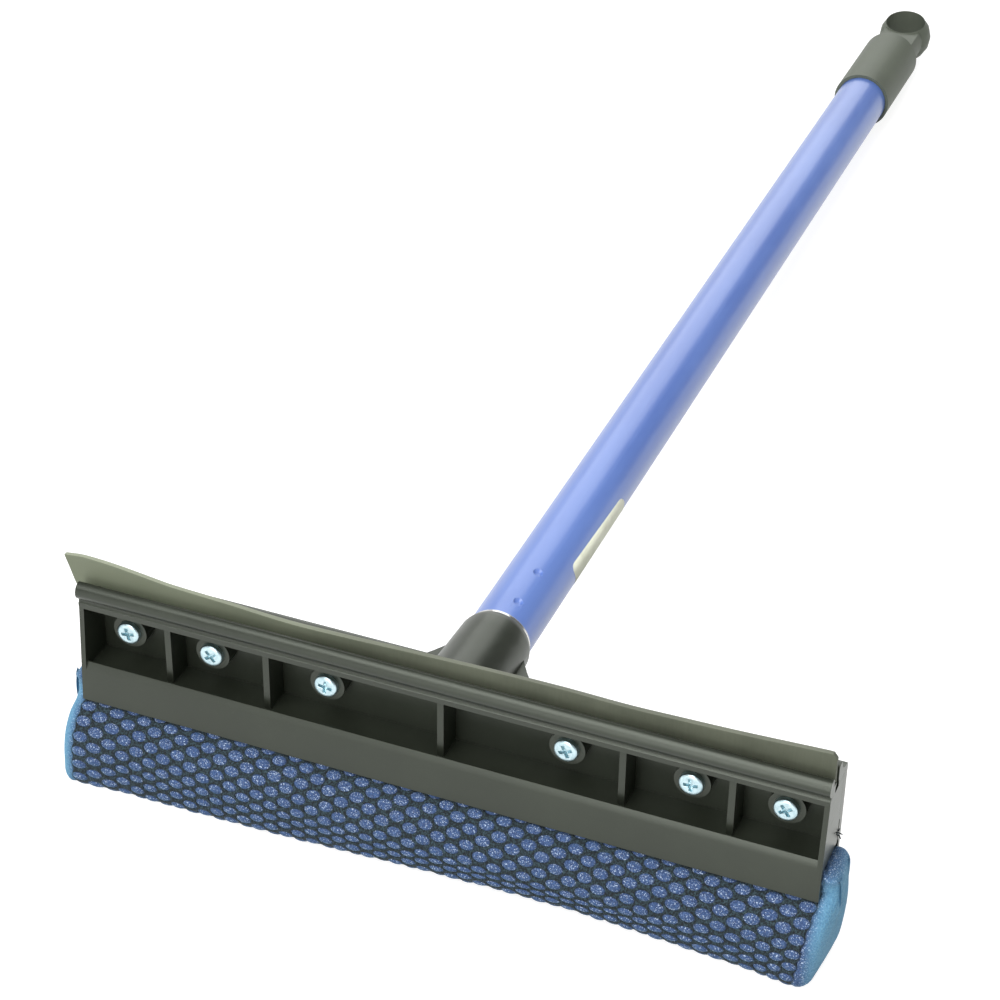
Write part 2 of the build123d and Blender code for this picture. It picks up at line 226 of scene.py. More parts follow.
class NodeBench:
    """Builds a node tree: one method adds any node, the others are short names for common ones."""

    def __init__(self, owner: bpy.types.Material | bpy.types.World) -> None:
        """Empties the owner's node tree and works in it.

        Args:
            owner: The material or world that the tree belongs to.
        """
        owner.use_nodes = True
        self.tree = owner.node_tree
        self.tree.nodes.clear()

    def node(
        self,
        kind: str,
        settings: Mapping[str, object] | None = None,
        sockets: Mapping[str | int, object] | None = None,
        output: str | int = 0,
    ) -> Signal | None:
        """Adds a node.

        Args:
            kind: The node's type.
            settings: Its properties, set before its sockets.
            sockets: Values or signals of its inputs, by name or number.
            output: Name or number of the output that is wanted.

        Returns:
            The wanted output, or None for a node that ends a tree.
        """
        made = self.tree.nodes.new(kind)
        for name, value in (settings or {}).items():
            setattr(made, name, value)
        for name, value in (sockets or {}).items():
            if isinstance(value, Signal):
                self.tree.links.new(value.socket, made.inputs[name])
            else:
                made.inputs[name].default_value = value
        return Signal(self, made.outputs[output]) if made.outputs else None

    def place(self) -> Signal:
        """Object coordinates, which for a finished piece are the frame's own, in metres."""
        return self.node("ShaderNodeTexCoord", output="Object")

    def head_place(self, head: HeadFrame) -> Signal:
        """Object coordinates turned into the head's own axes.

        Args:
            head: The head's frame.

        Returns:
            The turned coordinates, in metres.
        """
        inverse = head.to_row.inverted()
        sockets = {
            "Vector": self.place(),
            "Location": inverse.to_translation(),
            "Rotation": inverse.to_euler(),
        }
        return self.node("ShaderNodeMapping", {"vector_type": "POINT"}, sockets)

    def axis(self, vector: Signal, name: str) -> Signal:
        """One component, X, Y or Z, of a vector."""
        return self.node("ShaderNodeSeparateXYZ", sockets={0: vector}, output=name)

    def stretched(self, vector: Signal, factors: Sequence[float]) -> Signal:
        """A vector with its components multiplied by the factors."""
        return self.node("ShaderNodeVectorMath", {"operation": "MULTIPLY"}, {0: vector, 1: factors})

    def grain(self, vector: Signal, scale: float, detail: float = 2.0, roughness: float = 0.5) -> Signal:
        """Noise value of the given scale, in cells per metre."""
        sockets = {"Vector": vector, "Scale": scale, "Detail": detail, "Roughness": roughness}
        return self.node("ShaderNodeTexNoise", sockets=sockets, output="Fac")

    def cells(self, vector: Signal, scale: float) -> Signal:
        """Distance to the nearest of scattered points, as in a froth."""
        sockets = {"Vector": vector, "Scale": scale}
        return self.node("ShaderNodeTexVoronoi", sockets=sockets, output="Distance")

    def mix(self, share: Signal | float, first: Signal | Colour, second: Signal | Colour) -> Signal:
        """Colour that goes from first to second with share."""
        start, end = (c if isinstance(c, Signal) else (*c, 1.0) for c in (first, second))
        return self.node("ShaderNodeMix", {"data_type": "RGBA"}, {0: share, 6: start, 7: end}, 2)

    def bump(self, height: Signal, depth: float, strength: float = 1.0) -> Signal:
        """Normal of a surface whose height swings through depth."""
        sockets = {"Height": height, "Distance": depth, "Strength": strength}
        return self.node("ShaderNodeBump", sockets=sockets)

    def surface(self, **sockets: object) -> None:
        """Ends the tree with a principled surface.

        Args:
            sockets: Values or signals of its inputs, by name with underscores for spaces.
        """
        named = {}
        for name, value in sockets.items():
            is_colour = isinstance(value, tuple) and len(value) == 3
            named[name.replace("_", " ")] = (*value, 1.0) if is_colour else value
        shader = self.node("ShaderNodeBsdfPrincipled", sockets=named)
        self.node("ShaderNodeOutputMaterial", sockets={"Surface": shader})


# ---- Finishes -------------------------------------------------------------------------------------


class Finish:
    """One material of the object; each kind says how its own surface is made.

    A scale counts cells per metre.
    """

    name: str

    def build(self) -> bpy.types.Material:
        """Makes the material.

        Returns:
            The material, with its node tree complete.
        """
        material = bpy.data.materials.new(self.name)
        self._dress(NodeBench(material))
        return material

    def _dress(self, bench: NodeBench) -> None:
        """Builds the finish's own node tree on an empty bench.

        Args:
            bench: The material's empty bench.
        """
        raise NotImplementedError


@dataclass(frozen=True)
class MouldedPlastic(Finish):
    """Semi-gloss moulded plastic with a fine pebble and uneven sheen."""

    name: str = "moulded_plastic"
    colour: Colour = srgb(31, 34, 28)
    worn: Colour = srgb(48, 52, 43)
    roughness: float = 0.36
    roughness_swing: float = 0.16
    gloss: float = 0.15
    gloss_roughness: float = 0.32
    gloss_tint: Colour = (0.93, 1.0, 0.88)
    cloud_scale: float = 28.0
    cloud_span: Span = (0.35, 0.75)
    scuff_scale: float = 900.0
    scuff_stretch: Stretch = (1.0, 0.12, 1.0)
    scuff_span: Span = (0.58, 0.75)
    pebble_scale: float = 2600.0
    pebble_depth: float = 0.02 * MM

    def _dress(self, bench: NodeBench) -> None:
        """Lays clouds and scuffs over a pebbled surface.

        Args:
            bench: The material's empty bench.
        """
        place = bench.place()
        cloud = bench.grain(place, self.cloud_scale, 4.0, 0.6)
        pebble = bench.grain(place, self.pebble_scale, 2.0)
        strokes = bench.grain(bench.stretched(place, self.scuff_stretch), self.scuff_scale, 3.0, 0.7)
        scuffs = strokes.eased(*self.scuff_span)
        tone = cloud.eased(*self.cloud_span) * 0.35 + scuffs * 0.3
        bench.surface(
            Base_Color=bench.mix(tone, self.colour, self.worn),
            Roughness=self.roughness + (cloud - 0.5) * self.roughness_swing + scuffs * 0.08,
            Specular_Tint=self.gloss_tint,
            Coat_Weight=self.gloss,
            Coat_Roughness=self.gloss_roughness,
            Coat_Tint=self.gloss_tint,
            Normal=bench.bump(pebble, self.pebble_depth),
        )


@dataclass(frozen=True)
class BladeRubber(Finish):
    """Matte extruded rubber with faint streaks across the lip, dustier towards its left tip."""

    head: HeadFrame
    name: str = "blade_rubber"
    colour: Colour = srgb(71, 75, 62)
    dusty: Colour = srgb(90, 94, 79)
    bloom: Colour = srgb(105, 111, 92)
    bloom_span: Span = (20 * MM, -136 * MM)
    roughness: float = 0.62
    roughness_swing: float = 0.15
    streak_scale: float = 1500.0
    streak_stretch: Stretch = (1.0, 0.3, 0.12)
    cloud_scale: float = 45.0
    cloud_span: Span = (0.35, 0.7)
    fine_scale: float = 3500.0
    streak_depth: float = 0.03 * MM

    def _dress(self, bench: NodeBench) -> None:
        """Mixes streaks and clouds of dust, with bloom towards the left tip.

        Args:
            bench: The material's empty bench.
        """
        place = bench.place()
        streaks = bench.grain(bench.stretched(place, self.streak_stretch), self.streak_scale, 3.0, 0.6)
        cloud = bench.grain(place, self.cloud_scale, 4.0, 0.6)
        fine = bench.grain(place, self.fine_scale, 2.0)
        along = bench.axis(bench.head_place(self.head), "X")
        tip_share = along.eased(*self.bloom_span) * (0.7 + cloud * 0.5)
        dust = streaks * 0.5 + cloud.eased(*self.cloud_span) * 0.5
        bench.surface(
            Base_Color=bench.mix(tip_share, bench.mix(dust, self.colour, self.dusty), self.bloom),
            Roughness=self.roughness + (cloud - 0.5) * self.roughness_swing,
            Normal=bench.bump(streaks + fine * 0.5, self.streak_depth),
        )


@dataclass(frozen=True)
class TubePaint(Finish):
    """Satin enamel on a steel tube whose cut ends are bare."""

    head: HeadFrame
    name: str = "tube_paint"
    colour: Colour = srgb(87, 116, 187)
    pale: Colour = srgb(101, 130, 199)
    steel: Colour = srgb(205, 205, 200)
    roughness: float = 0.35
    steel_polish: float = 0.14
    gloss: float = 0.35
    gloss_roughness: float = 0.22
    end_y: float = 46.0 * MM
    cut_depth: float = 1.3 * MM
    cloud_scale: float = 60.0
    cloud_stretch: Stretch = (1.0, 0.2, 1.0)
    cloud_span: Span = (0.3, 0.7)
    peel_scale: float = 420.0
    peel_depth: float = 0.02 * MM
    speck_scale: float = 2200.0
    speck_span: Span = (0.62, 0.8)

    def _dress(self, bench: NodeBench) -> None:
        """Puts a faintly clouded enamel over steel that shows at the cut end.

        Args:
            bench: The material's empty bench.
        """
        place = bench.head_place(self.head)
        cut = bench.axis(place, "Y").eased(self.end_y + self.cut_depth, self.end_y + self.cut_depth / 2)
        cloud = bench.grain(bench.stretched(place, self.cloud_stretch), self.cloud_scale, 4.0, 0.6)
        peel = bench.grain(place, self.peel_scale, 2.0)
        specks = bench.grain(place, self.speck_scale, 2.0, 0.7)
        enamel = bench.mix(cloud.eased(*self.cloud_span), self.colour, self.pale)
        matt = self.roughness + (cloud - 0.5) * 0.08 + specks.eased(*self.speck_span) * 0.1
        bench.surface(
            Base_Color=bench.mix(cut, enamel, self.steel),
            Metallic=cut,
            Roughness=matt - cut * self.steel_polish,
            Coat_Weight=self.gloss,
            Coat_Roughness=self.gloss_roughness,
            Normal=bench.bump(peel + specks * 0.15, self.peel_depth),
        )


@dataclass(frozen=True)
class OpenCellFoam(Finish):
    """Open-cell foam: violet blue under the net, with painted shade beside its threads; paler at its bare
    ends, but kept dark as painted shade high up under the casings.
    """

    head: HeadFrame
    net_middle: float
    net_reach: float
    name: str = "foam"
    thread_shade: Colour = srgb(14, 26, 54)
    thread_shade_span: Span = (0.7, 1.1)
    deep: Colour = srgb(15, 30, 71)
    bright: Colour = srgb(62, 91, 137)
    glint: Colour = srgb(206, 224, 246)
    glint_span: Span = (0.58, 0.65)
    bare: Colour = srgb(70, 122, 160)
    bare_pale: Colour = srgb(108, 158, 186)
    bare_along: Span = (-1.0 * MM, 4.0 * MM)
    bare_down: Span = (-14 * MM, -22 * MM)
    sheen: float = 0.25
    sheen_tint: Colour = srgb(150, 205, 225)
    roughness: float = 0.8
    froth_scale: float = 1400.0
    froth_span: Span = (0.15, 0.75)
    froth_depth: float = 0.25 * MM
    fine_scale: float = 1900.0
    fine_span: Span = (0.34, 0.66)
    glint_scale: float = 2100.0
    cloud_scale: float = 60.0

    def _dress(self, bench: NodeBench) -> None:
        """Mixes froth and glints, painted shade by the threads, and the paler bare ends below the casings.

        Args:
            bench: The material's empty bench.
        """
        place = bench.place()
        froth = bench.cells(place, self.froth_scale)
        fine = bench.grain(place, self.fine_scale, 3.0, 0.7)
        glints = bench.grain(place, self.glint_scale, 2.0, 0.8).eased(*self.glint_span)
        cloud = bench.grain(place, self.cloud_scale, 3.0)
        tone = fine.eased(*self.fine_span) * 0.5 + froth.eased(*self.froth_span) * 0.3 + cloud * 0.2
        # Painted shade: the foam turns dark next to the net's threads, following the near_thread
        # attribute.
        near_thread = bench.node("ShaderNodeAttribute", {"attribute_name": NEAR_THREAD}, output="Fac")
        thread_shade_share = near_thread.eased(*self.thread_shade_span)
        netted = bench.mix(glints * 0.75, bench.mix(tone, self.deep, self.bright), self.glint)
        netted = bench.mix(thread_shade_share * 0.8, netted, self.thread_shade)
        open_end = bench.mix(tone, self.bare, self.bare_pale)
        in_head = bench.head_place(self.head)
        past = (bench.axis(in_head, "X") - self.net_middle).size()
        # Painted shade: high up under the casings the bare ends keep the dark netted colour, and only
        # their lower part turns to the paler bare colour.
        below = bench.axis(in_head, "Z").eased(*self.bare_down)
        end_share = past.eased(*(self.net_reach + step for step in self.bare_along)) * below
        bench.surface(
            Base_Color=bench.mix(end_share, netted, open_end),
            Roughness=self.roughness - glints * 0.35,
            Sheen_Weight=self.sheen,
            Sheen_Tint=self.sheen_tint,
            Normal=bench.bump(froth + fine * 0.6, self.froth_depth, 0.8),
        )


@dataclass(frozen=True)
class NetYarn(Finish):
    """Dark knitted yarn with a fine twist."""

    name: str = "net_yarn"
    colour: Colour = srgb(8, 15, 20)
    lit: Colour = srgb(58, 78, 86)
    roughness: float = 0.82
    shine: float = 0.35
    fibre_scale: float = 1700.0
    fibre_stretch: Stretch = (1.0, 1.0, 0.6)
    fibre_span: Span = (0.42, 0.66)
    fibre_depth: float = 0.3 * MM
    cloud_scale: float = 120.0

    def _dress(self, bench: NodeBench) -> None:
        """Picks single fibres out of the dark yarn.

        Args:
            bench: The material's empty bench.
        """
        place = bench.place()
        fibre = bench.grain(bench.stretched(place, self.fibre_stretch), self.fibre_scale, 3.0, 0.75)
        cloud = bench.grain(place, self.cloud_scale, 3.0)
        tone = fibre.eased(*self.fibre_span) * 0.8 + cloud * 0.1
        bench.surface(
            Base_Color=bench.mix(tone, self.colour, self.lit),
            Roughness=self.roughness + (fibre - 0.5) * 0.2,
            Specular_IOR_Level=self.shine,
            Normal=bench.bump(fibre, self.fibre_depth),
        )


@dataclass(frozen=True)
class ZincPlate(Finish):
    """Bright blue-white zinc plating."""

    name: str = "zinc_plate"
    colour: Colour = srgb(198, 220, 226)
    dull: Colour = srgb(156, 184, 192)
    roughness: float = 0.34
    bloom_scale: float = 700.0
    bloom_span: Span = (0.4, 0.7)
    fine_scale: float = 5000.0
    fine_depth: float = 0.01 * MM

    def _dress(self, bench: NodeBench) -> None:
        """Dulls the bright plating in small clouds.

        Args:
            bench: The material's empty bench.
        """
        place = bench.place()
        bloom = bench.grain(place, self.bloom_scale, 4.0, 0.65)
        fine = bench.grain(place, self.fine_scale, 2.0)
        bench.surface(
            Base_Color=bench.mix(bloom.eased(*self.bloom_span) * 0.6, self.colour, self.dull),
            Metallic=1.0,
            Roughness=self.roughness + (bloom - 0.5) * 0.2,
            Normal=bench.bump(fine, self.fine_depth),
        )


@dataclass(frozen=True)
class LabelPaper(Finish):
    """Coated cream paper, bare."""

    name: str = "label_paper"
    colour: Colour = srgb(226, 228, 208)
    aged: Colour = srgb(206, 208, 186)
    roughness: float = 0.55
    cloud_scale: float = 110.0
    cloud_span: Span = (0.4, 0.8)
    fibre_scale: float = 4200.0
    fibre_depth: float = 0.015 * MM

    def _dress(self, bench: NodeBench) -> None:
        """Yellows the paper in faint clouds.

        Args:
            bench: The material's empty bench.
        """
        place = bench.place()
        cloud = bench.grain(place, self.cloud_scale, 4.0, 0.6)
        fibre = bench.grain(place, self.fibre_scale, 3.0)
        bench.surface(
            Base_Color=bench.mix(cloud.eased(*self.cloud_span), self.colour, self.aged),
            Roughness=self.roughness + (fibre - 0.5) * 0.1,
            Normal=bench.bump(fibre, self.fibre_depth),
        )


# ---- Shared geometry ------------------------------------------------------------------------------


@dataclass(frozen=True)
class HeadFrame:
    """The head's own axes: X along the head, Y up the handle, Z towards the blade."""

    to_row: Matrix

    @classmethod
    def from_record(cls, record: Mapping[str, object]) -> HeadFrame:
        """Finds the head's axes from the hanging hole, whose axis leans from their Z.

        Args:
            record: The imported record.

        Returns:
            The head's frame.
        """
        eye = next(mount for mount in record["mounts"] if mount["name"] == "hang_hole")
        upright = Matrix.Rotation(math.radians(-EYE_LEAN), 3, "X")
        to_blade = (upright @ Vector(eye["axis"])).normalized()
        along_head = Vector((1.0, 0.0, 0.0))
        up_handle = to_blade.cross(along_head)
        origin = Vector(eye["pos_m"]) - EYE_Y * up_handle
        turn = Matrix((along_head, up_handle, to_blade)).transposed().to_4x4()
        return cls(Matrix.Translation(origin) @ turn)

    def of(self, row_point: Vector) -> Vector:
        """A point of the row frame, in the head's axes."""
        return self.to_row.inverted() @ row_point


def finished_piece(
    bm: bmesh.types.BMesh,
    name: str,
    material: bpy.types.Material,
    recalculate: bool = True,
) -> bpy.types.Object:
    """Turns a bmesh into a shown piece that rides on the frame's body.

    Args:
        bm: The shape, in the row frame. It is freed.
        name: The piece's name.
        material: Its finish.
        recalculate: Whether its faces are turned outwards first.

    Returns:
        The new object.
    """
    if recalculate:
        bmesh.ops.recalc_face_normals(bm, faces=bm.faces)
    for face in bm.faces:
        face.smooth = True
    mesh = bpy.data.meshes.new(name)
    bm.to_mesh(mesh)
    bm.free()
    mesh.materials.append(material)
    piece = bpy.data.objects.new(name, mesh)
    bpy.context.scene.collection.objects.link(piece)
    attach(piece, ROOT)
    log.info("%s: %d faces", name, len(mesh.polygons))
    return piece


def soften_edges(
    piece: bpy.types.Object,
    width: float,
    weld: bool = False,
    angle: float = 35.0,
) -> None:
    """Rounds a piece's sharp edges and evens its shading with modifiers.

    Args:
        piece: The object.
        width: Width of the rounding.
        weld: Whether the mesh is loose along its edges and is joined first.
        angle: Edges sharper than this, in degrees, are rounded.
    """
    if weld:
        piece.modifiers.new("weld", "WELD").merge_threshold = WELD_GAP
    bevel = piece.modifiers.new("edge_rounding", "BEVEL")
    bevel.width = width
    bevel.segments = EDGE_STEPS
    bevel.limit_method = "ANGLE"
    bevel.angle_limit = math.radians(angle)
    bevel.harden_normals = False
    shading = piece.modifiers.new("even_shading", "WEIGHTED_NORMAL")
    shading.keep_sharp = False
    shading.weight = FACE_WEIGHT


def subdivide(piece: bpy.types.Object, levels: int) -> None:
    """Rounds a piece with a subdivision surface.

    Args:
        piece: The object.
        levels: How often it is divided, in a render too.
    """
    rounding = piece.modifiers.new("rounding", "SUBSURF")
    rounding.levels = levels
    rounding.render_levels = levels


def dress_node(node: str, material: bpy.types.Material, edge: float) -> None:
    """Gives a CAD node its finish and soft edges; its mesh stays as packed.

    Args:
        node: The node's name.
        material: Its finish.
        edge: Width of the edge rounding.
    """
    piece = frame["nodes"][node]
    piece.data.materials.clear()
    piece.data.materials.append(material)
    soften_edges(piece, edge, weld=True)
    log.info("%s: finished in %s", node, material.name)


# ---- Head -----------------------------------------------------------------------------------------


@dataclass
class CasingPair:
    """The two moulded halves of the head, as packed."""

    edge: float = 0.2 * MM
    nodes: tuple[str, ...] = ("front_casing", "rear_casing")

    def build(self) -> None:
        """Dresses both casings in the same plastic."""
        plastic = MouldedPlastic().build()
        for node in self.nodes:
            dress_node(node, plastic, self.edge)


@dataclass
class WiperBlade:
    """Rubber strip whose free edge waves along the head.

    The left edge is a table of X over Z and the free edge one of Z over X, both in millimetres.
    """

    head: HeadFrame
    front_y: float = 0.9 * MM
    root_thickness: float = 2.2 * MM
    tip_thickness: float = 1.7 * MM
    root_z: float = 12.6 * MM
    right_x: float = 126.5 * MM
    corner: float = 1.8 * MM
    wave: float = 0.4 * MM
    wave_length: float = 19 * MM
    curl: float = 0.8 * MM
    curl_span: Span = (100 * MM, 134 * MM)
    taper_end_z: float = 24 * MM
    # Faces that look up more steeply than this get the painted highlight.
    painted_highlight_rise: float = 0.7
    edge: float = 0.22 * MM
    edge_angle: float = 50.0
    steps_along: int = 190
    steps_up: int = 14
    left_edge: Table = (
        (12.6, -127.2), (14.6, -129.9), (16.9, -131.1), (21.0, -132.6), (26.0, -134.6),
    )
    free_edge: Table = (
        (-134.6, 25.8), (-128.0, 26.6), (-117.0, 26.2), (-106.0, 25.1), (-96.0, 23.9),
        (-75.0, 23.0), (-54.0, 22.1), (-33.0, 22.6), (-12.0, 23.2), (38.0, 23.8), (60.0, 23.7),
        (77.0, 24.3), (96.0, 25.0), (124.0, 26.2), (127.0, 26.2),
    )

    def build(self) -> None:
        """Makes the blade from one grid, thickened towards its root."""
        bm = bmesh.new()
        bmesh.ops.create_grid(bm, x_segments=self.steps_along, y_segments=self.steps_up, size=0.5)
        for vert in list(bm.verts):
            self._place(vert, vert.co.x + 0.5, vert.co.y + 0.5)
        bmesh.ops.recalc_face_normals(bm, faces=bm.faces)
        bmesh.ops.solidify(bm, geom=bm.faces[:], thickness=self.tip_thickness)
        self._thicken_root(bm)
        bmesh.ops.transform(bm, matrix=self.head.to_row, verts=bm.verts)
        bmesh.ops.recalc_face_normals(bm, faces=bm.faces)
        # Painted highlight: faces that look up, along the cut top edge, get a lighter copy of the rubber.
        for face in bm.faces:
            face.material_index = 1 if face.normal.z > self.painted_highlight_rise else 0
        cut = BladeRubber(
            self.head,
            name="cut_rubber_painted_highlight",
            colour=srgb(92, 96, 83),
            dusty=srgb(110, 114, 99),
            bloom=srgb(146, 152, 131),
        )
        piece = finished_piece(bm, "wiper_blade", BladeRubber(self.head).build())
        piece.data.materials.append(cut.build())
        soften_edges(piece, self.edge, angle=self.edge_angle)
        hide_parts("squeegee_blade")

    def _tip_height(self, x: float) -> float:
        """Height of the free edge, its right corner rounded.

        Args:
            x: Place along the head.

        Returns:
            The height in the head's frame.
        """
        height = smooth_line(self.free_edge, x / MM) * MM
        past = x - (self.right_x - self.corner)
        if past > 0:
            height -= self.corner - math.sqrt(max(self.corner**2 - past**2, 0.0))
        return height

    def _place(self, vert: bmesh.types.BMVert, along: float, up: float) -> None:
        """Moves a grid point to its place on the blade's front face.

        Args:
            vert: The point.
            along: Its share of the way from the left edge to the right.
            up: Its share of the way from the root to the free edge.
        """
        start_z = self.root_z + (self.free_edge[0][1] * MM - self.root_z) * up
        left = smooth_line(self.left_edge, start_z / MM) * MM
        x = left + (self.right_x - left) * along
        z = self.root_z + (self._tip_height(x) - self.root_z) * up
        wave = self.wave * math.sin(x / self.wave_length) + self.curl * smooth_step(-x, *self.curl_span)
        vert.co = Vector((x, self.front_y + wave * up * up, z))

    def _thicken_root(self, bm: bmesh.types.BMesh) -> None:
        """Tapers the strip from its root's thickness to its tip's.

        Args:
            bm: The blade, in the head's frame.
        """
        middle_y = self.front_y + self.tip_thickness / 2
        for vert in bm.verts:
            if vert.co.y > middle_y:
                low = 1 - smooth_step(vert.co.z, self.root_z, self.taper_end_z)
                vert.co.y += (self.root_thickness - self.tip_thickness) * low


@dataclass
class ClampScrews:
    """Six pan-head tapping screws with cross recesses; the profile is radius and height in millimetres."""

    head: HeadFrame
    face_y: float = 0.2 * MM
    axis_z: float = 0.4 * MM
    profile: Table = (
        (2.9, 0.0), (3.4, -0.1), (3.8, -0.3), (4.02, -0.62), (4.1, -1.0), (4.1, -2.0),
        (1.7, -2.0), (1.7, -14.5), (0.3, -18.0),
    )
    steps: int = 36
    cross_span: float = 4.7 * MM
    cross_width: float = 1.2 * MM
    cross_depth: float = 1.5 * MM
    cross_taper: float = 0.16 * MM
    face_skin: float = 0.05 * MM
    edge: float = 0.1 * MM
    turns: tuple[float, ...] = (12.0, 38.0, -8.0, 24.0, 5.0, 33.0)

    def build(self) -> None:
        """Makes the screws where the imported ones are, each turned its own way."""
        zinc = ZincPlate().build()
        for number, turn in enumerate(self.turns, start=1):
            node = f"clamp_screw_{number}"
            low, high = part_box(node)
            bm = self._screw()
            middle = self.head.of((low + high) / 2)
            spot = Matrix.Translation((middle.x, self.face_y, self.axis_z))
            face_front = Matrix.Rotation(math.radians(90), 4, "X")
            spun = Matrix.Rotation(math.radians(turn), 4, "Z")
            bmesh.ops.transform(bm, matrix=self.head.to_row @ spot @ face_front @ spun, verts=bm.verts)
            piece = finished_piece(bm, f"pan_head_screw_{number}", zinc)
            soften_edges(piece, self.edge)
            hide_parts(node)

    def _screw(self) -> bmesh.types.BMesh:
        """One screw along Z, its face at the origin.

        Returns:
            The screw's shape.
        """
        bm = bmesh.new()
        points = [bm.verts.new((radius * MM, 0.0, height * MM)) for radius, height in self.profile]
        sides = [bm.edges.new(pair) for pair in zip(points, points[1:])]
        bmesh.ops.spin(
            bm,
            geom=points + sides,
            cent=(0, 0, 0),
            axis=(0, 0, 1),
            angle=math.tau,
            steps=self.steps,
            use_merge=True,
            use_duplicate=False,
        )
        bmesh.ops.holes_fill(bm, edges=bm.edges[:], sides=self.steps)
        self._sink_cross(bm)
        return bm

    def _sink_cross(self, bm: bmesh.types.BMesh) -> None:
        """Cuts the driver's cross into the face.

        Args:
            bm: The screw.
        """
        for axis in (Vector((1, 0, 0)), Vector((0, 1, 0))):
            for reach in (self.cross_span / 2, self.cross_width / 2):
                for side in (-1, 1):
                    flat = [face for face in bm.faces if face.calc_center_median().z > -self.face_skin]
                    touched = (part for face in flat for part in (face, *face.edges, *face.verts))
                    bmesh.ops.bisect_plane(
                        bm,
                        geom=list(dict.fromkeys(touched)),
                        plane_co=axis * reach * side,
                        plane_no=axis,
                    )
        inside = self.cross_width / 2
        cross = []
        for face in bm.faces:
            centre = face.calc_center_median()
            x, y = abs(centre.x), abs(centre.y)
            on_face = centre.z > -self.face_skin
            if on_face and min(x, y) < inside and max(x, y) < self.cross_span / 2:
                cross.append(face)
        bmesh.ops.inset_region(
            bm,
            faces=cross,
            thickness=self.cross_taper,
            depth=-self.cross_depth,
            use_even_offset=True,
            use_boundary=True,
        )


# ---- Sponge and net -------------------------------------------------------------------------------


class SpongeSection:
    """Closed outline of the foam bar in the head's (Y, Z) plane, walked by its length."""

    def __init__(self, knots: Sequence[tuple[float, float]], steps: int = 16) -> None:
        """Draws one smooth closed curve through the knots.

        Args:
            knots: (Y, Z) points in millimetres, from the front nip round the table side.
            steps: Points between two knots.
        """
        places = [Vector((y * MM, z * MM)) for y, z in knots]
        count = len(places)
        self.points: list[Vector] = []
        for index in range(count):
            before, start, end, after = (places[(index + shift) % count] for shift in (-1, 0, 1, 2))
            leave, arrive = (end - before) / 2, (after - start) / 2
            for step in range(steps):
                self.points.append(curve_point(start, leave, end, arrive, step / steps))
        self.points.append(self.points[0].copy())
        self.lengths = [0.0]
        for start, end in zip(self.points, self.points[1:]):
            self.lengths.append(self.lengths[-1] + (end - start).length)
        self.knot_lengths = [self.lengths[index * steps] for index in range(count)]

    @property
    def length(self) -> float:
        """Length of the whole outline."""
        return self.lengths[-1]

    def at(self, distance: float) -> tuple[Vector, Vector]:
        """Point and outward normal at a distance along the outline.

        Args:
            distance: Length walked from the front nip.

        Returns:
            The point and the unit normal, both in (Y, Z).
        """
        distance %= self.length
        low = min(bisect.bisect_right(self.lengths, distance), len(self.lengths) - 1) - 1
        start, end = self.points[low : low + 2]
        share = (distance - self.lengths[low]) / (self.lengths[low + 1] - self.lengths[low])
        along = (end - start).normalized()
        return start.lerp(end, share), Vector((along.y, -along.x))


@dataclass(frozen=True)
class HexWeave:
    """Lattice of the net: columns of six-sided holes, every other column half a hole higher."""

    column_pitch: float
    row_pitch: float
    start: float
    oval: tuple[float, float] = (2.7 * MM, 1.95 * MM)

    def centre(self, column: int, row: int) -> tuple[float, float]:
        """Place of a hole: along the head, and round the section."""
        offset = 0.5 if column % 2 else 0.0
        return column * self.column_pitch, self.start + (row + offset) * self.row_pitch

    def rim_share(self, x: float, distance: float) -> float:
        """How far a point is from the middle of its hole: 0 there, and 1 at the hole's oval rim.

        Args:
            x: Place along the head.
            distance: Length round the section.

        Returns:
            The share, over 1 under the threads.
        """
        nearest = round(x / self.column_pitch)
        half_length, half_height = self.oval
        shares = []
        for column in (nearest - 1, nearest, nearest + 1):
            offset = 0.5 if column % 2 else 0.0
            row = round((distance - self.start) / self.row_pitch - offset)
            middle_x, middle_s = self.centre(column, row)
            shares.append(math.hypot((x - middle_x) / half_length, (distance - middle_s) / half_height))
        return min(shares)


